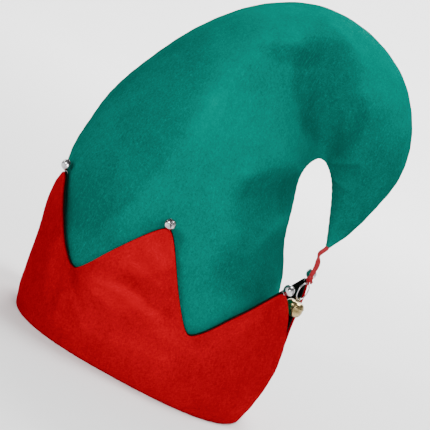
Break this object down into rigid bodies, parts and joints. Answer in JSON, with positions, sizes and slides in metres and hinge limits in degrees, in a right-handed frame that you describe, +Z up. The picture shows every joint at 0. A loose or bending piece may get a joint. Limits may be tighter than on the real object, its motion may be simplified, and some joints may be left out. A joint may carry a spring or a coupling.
{
  "type": "elf hat",
  "caption": "Felt elf hat with a drooping crown, a cuff cut into points with small jingle bells, and a brass bell hanging from its tip.",
  "frame": {"origin": "middle of the rim, on the surface that the hat rests on", "axes": "+Z up along the hat's height, +X to the side where the tip droops, -Y the front that the picture shows"},
  "size_m": [0.2458, 0.2036, 0.3312],
  "materials": {
    "green_felt": "matt wool-like felt",
    "red_felt": "matt wool-like felt",
    "dark_felt": "matt felt",
    "silver_bell": "plated, bright",
    "steel_pellet": "dull",
    "red_ribbon": "satin ribbon",
    "steel_ring": "drawn wire",
    "brass_bell": "polished, a little tarnished"
  },
  "bodies": {
    "hat": {"crown": "green_felt", "cuff": "red_felt", "cuff_lining": "dark_felt", "cuff_bell_1": "silver_bell", "cuff_bell_2": "silver_bell", "cuff_bell_3": "silver_bell", "cuff_bell_4": "silver_bell", "cuff_bell_5": "silver_bell", "cuff_bell_6": "silver_bell", "cuff_bell_pellet_1": "steel_pellet", "cuff_bell_pellet_2": "steel_pellet", "cuff_bell_pellet_3": "steel_pellet", "cuff_bell_pellet_4": "steel_pellet", "cuff_bell_pellet_5": "steel_pellet", "cuff_bell_pellet_6": "steel_pellet", "ribbon": "red_ribbon", "drop_ring": "steel_ring"},
    "drop": {"drop_bell": "brass_bell", "drop_bell_pellet": "steel_pellet"}
  },
  "joints": [
    {"name": "bell_swing", "type": "hinge", "parent": "hat", "child": "drop", "pos_m": [0.09849, 0, 0.11008], "axis": [0.5446, 0.8387, 0], "range_deg": [-45, 45]}
  ]
}
